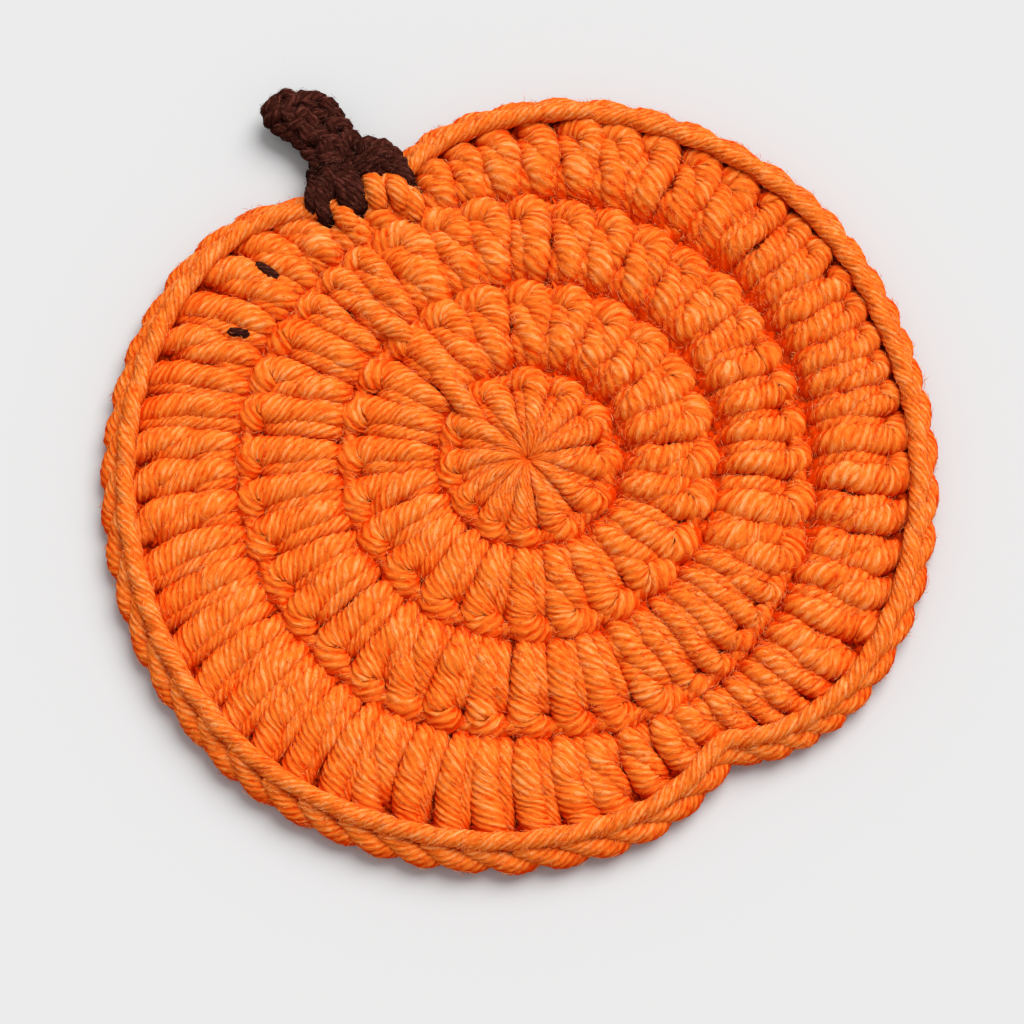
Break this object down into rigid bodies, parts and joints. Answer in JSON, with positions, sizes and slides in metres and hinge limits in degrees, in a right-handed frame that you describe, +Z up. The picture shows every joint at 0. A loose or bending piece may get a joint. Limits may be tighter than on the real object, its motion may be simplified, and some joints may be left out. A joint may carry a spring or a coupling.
{
  "type": "crochet coaster",
  "caption": "Flat crocheted coaster with a pumpkin outline, worked in rounds of ribbed stitches with a roped rim and a short brown stem.",
  "frame": {"origin": "under the centre ring of the rounds, on the flat underside", "axes": "+Z up through the thickness with the coaster lying flat, +Y from the centre ring towards the stem"},
  "size_m": [0.1179, 0.1215, 0.0073],
  "materials": {
    "orange_yarn": "soft plied yarn with a light fuzz",
    "brown_yarn": "soft plied yarn with a light fuzz"
  },
  "bodies": {
    "root": {"coaster_body": "orange_yarn", "stem": "brown_yarn"}
  },
  "joints": []
}
